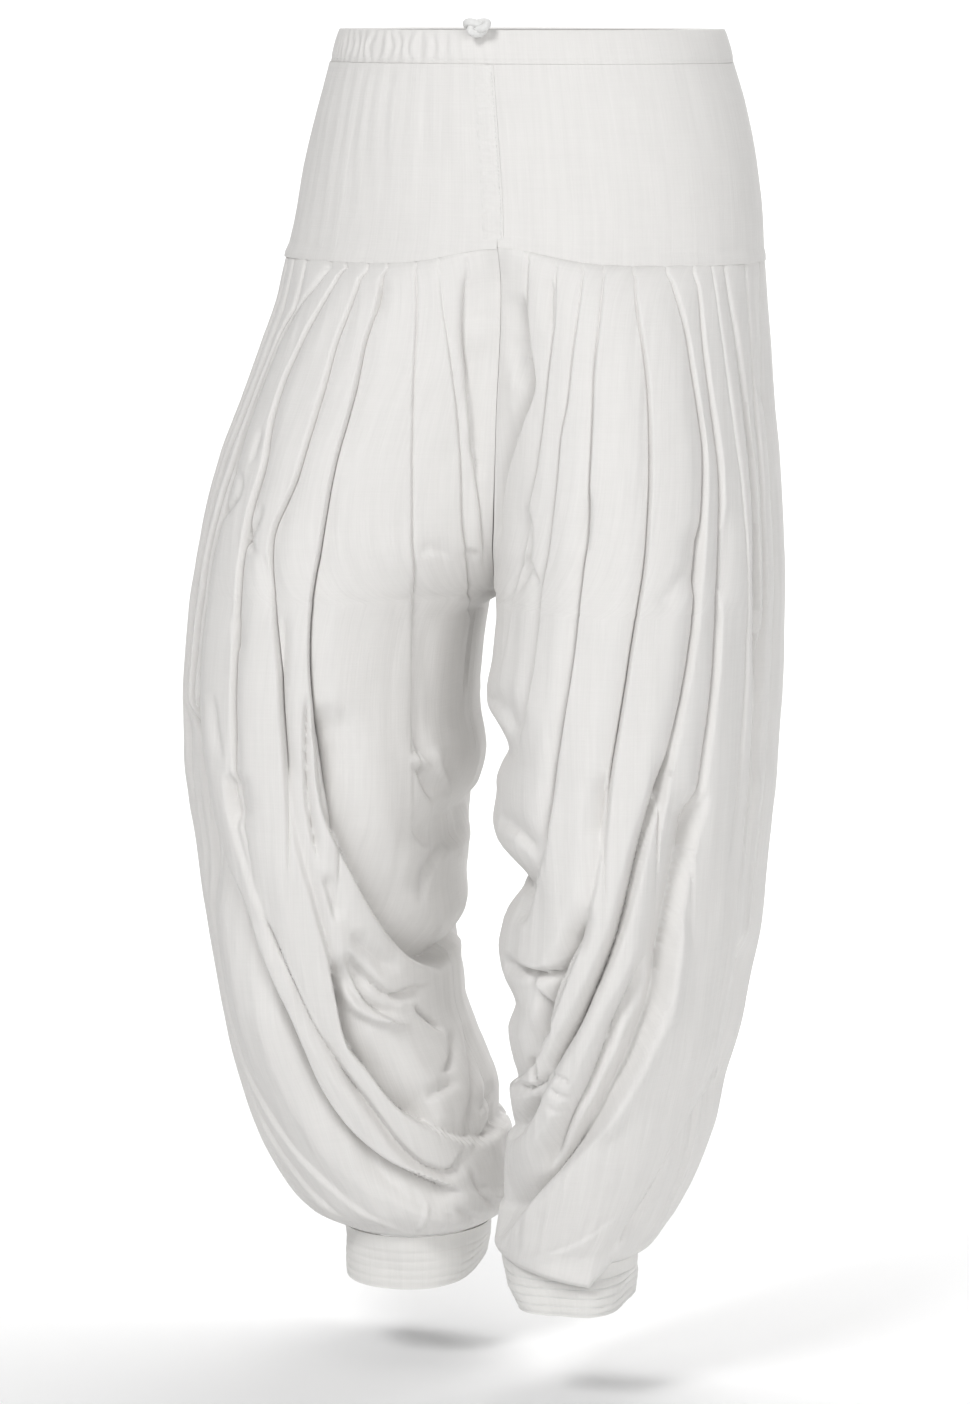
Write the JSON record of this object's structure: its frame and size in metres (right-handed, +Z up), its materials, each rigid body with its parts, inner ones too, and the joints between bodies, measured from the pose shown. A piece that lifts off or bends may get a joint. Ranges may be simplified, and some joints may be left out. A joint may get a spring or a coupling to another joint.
{
  "type": "patiala salwar trousers",
  "caption": "White cotton patiala trousers in worn form: drawstring waist casing, smooth yoke, very full legs pleated from the yoke and draped to the inner leg, and stiff ankle cuffs.",
  "frame": {"origin": "centre of the waist opening at the height of its rim", "axes": "+Z up, -Y to the front of the garment, +X to the wearer's left"},
  "size_m": [0.4721, 0.347, 0.9814],
  "materials": {
    "cotton": "matt white slub cotton",
    "cuff_cotton": "matt white cotton, stiffened and stitched in rows",
    "cord_cotton": "matt white cotton cord"
  },
  "bodies": {
    "root": {"waistband": "cotton", "yoke_left": "cotton", "yoke_right": "cotton", "placket": "cotton", "leg_right_front": "cotton", "leg_right_back": "cotton", "leg_left_front": "cotton", "leg_left_back": "cotton", "cuff_right": "cuff_cotton", "cuff_left": "cuff_cotton", "drawstring_knot": "cord_cotton"}
  },
  "joints": []
}
